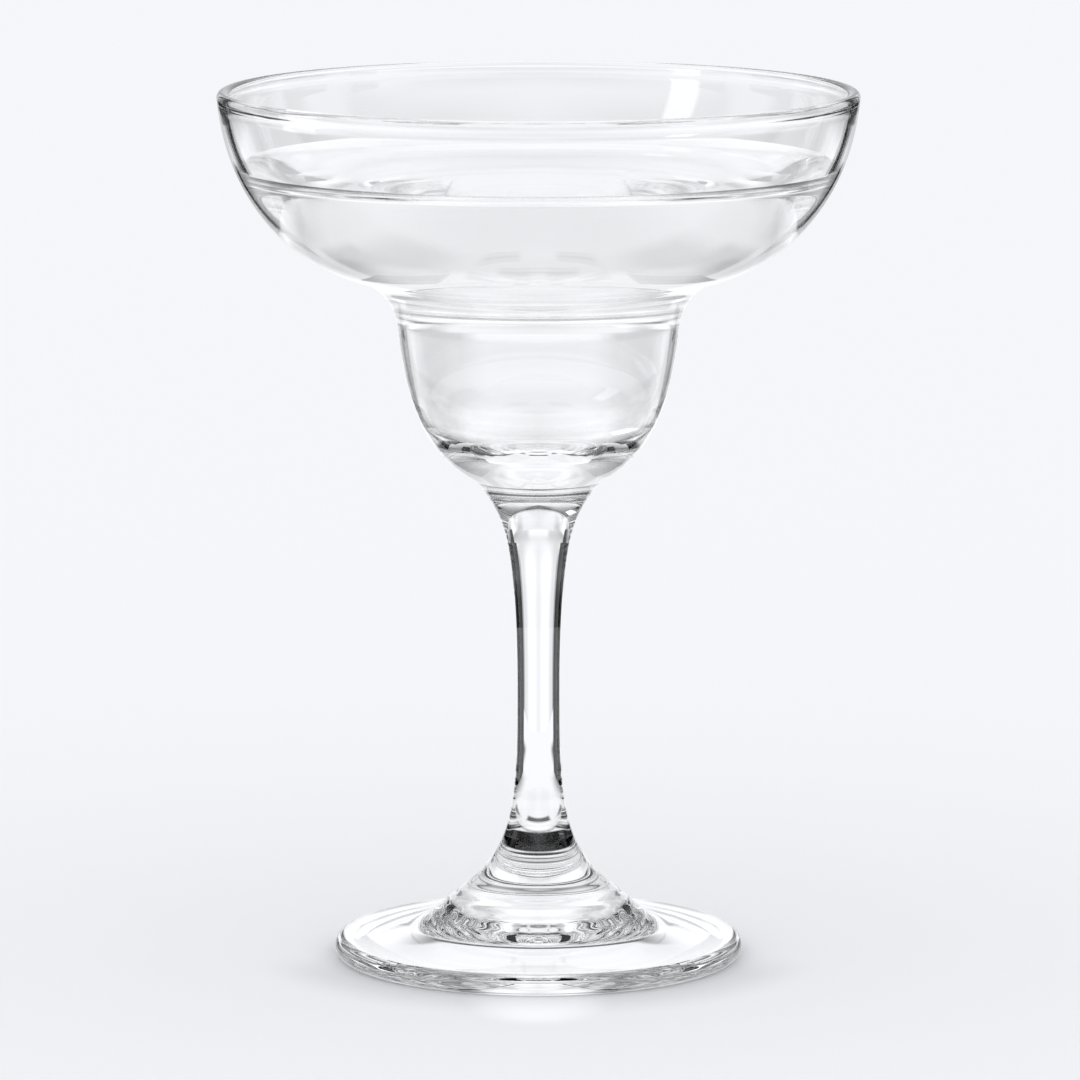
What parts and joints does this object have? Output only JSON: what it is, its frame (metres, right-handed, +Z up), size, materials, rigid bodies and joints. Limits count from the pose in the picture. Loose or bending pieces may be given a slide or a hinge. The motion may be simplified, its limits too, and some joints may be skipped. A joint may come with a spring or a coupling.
{
  "type": "margarita glass",
  "caption": "Stemmed cocktail glass with a wide upper bowl stepped down to a small round cup, on a solid drawn stem and a broad foot.",
  "frame": {"origin": "middle of the foot, on the surface that the glass stands on", "axes": "+Z up along the glass's axis of rotation; +X to the right as seen in the picture; +Y away from the viewer"},
  "size_m": [0.116, 0.116, 0.159],
  "materials": {
    "bowl_glass": "clear fire-polished glass",
    "stem_glass": "clear fire-polished glass",
    "foot_glass": "clear pressed and fire-polished glass"
  },
  "bodies": {
    "root": {"bowl": "bowl_glass", "stem": "stem_glass", "foot": "foot_glass"}
  },
  "joints": []
}
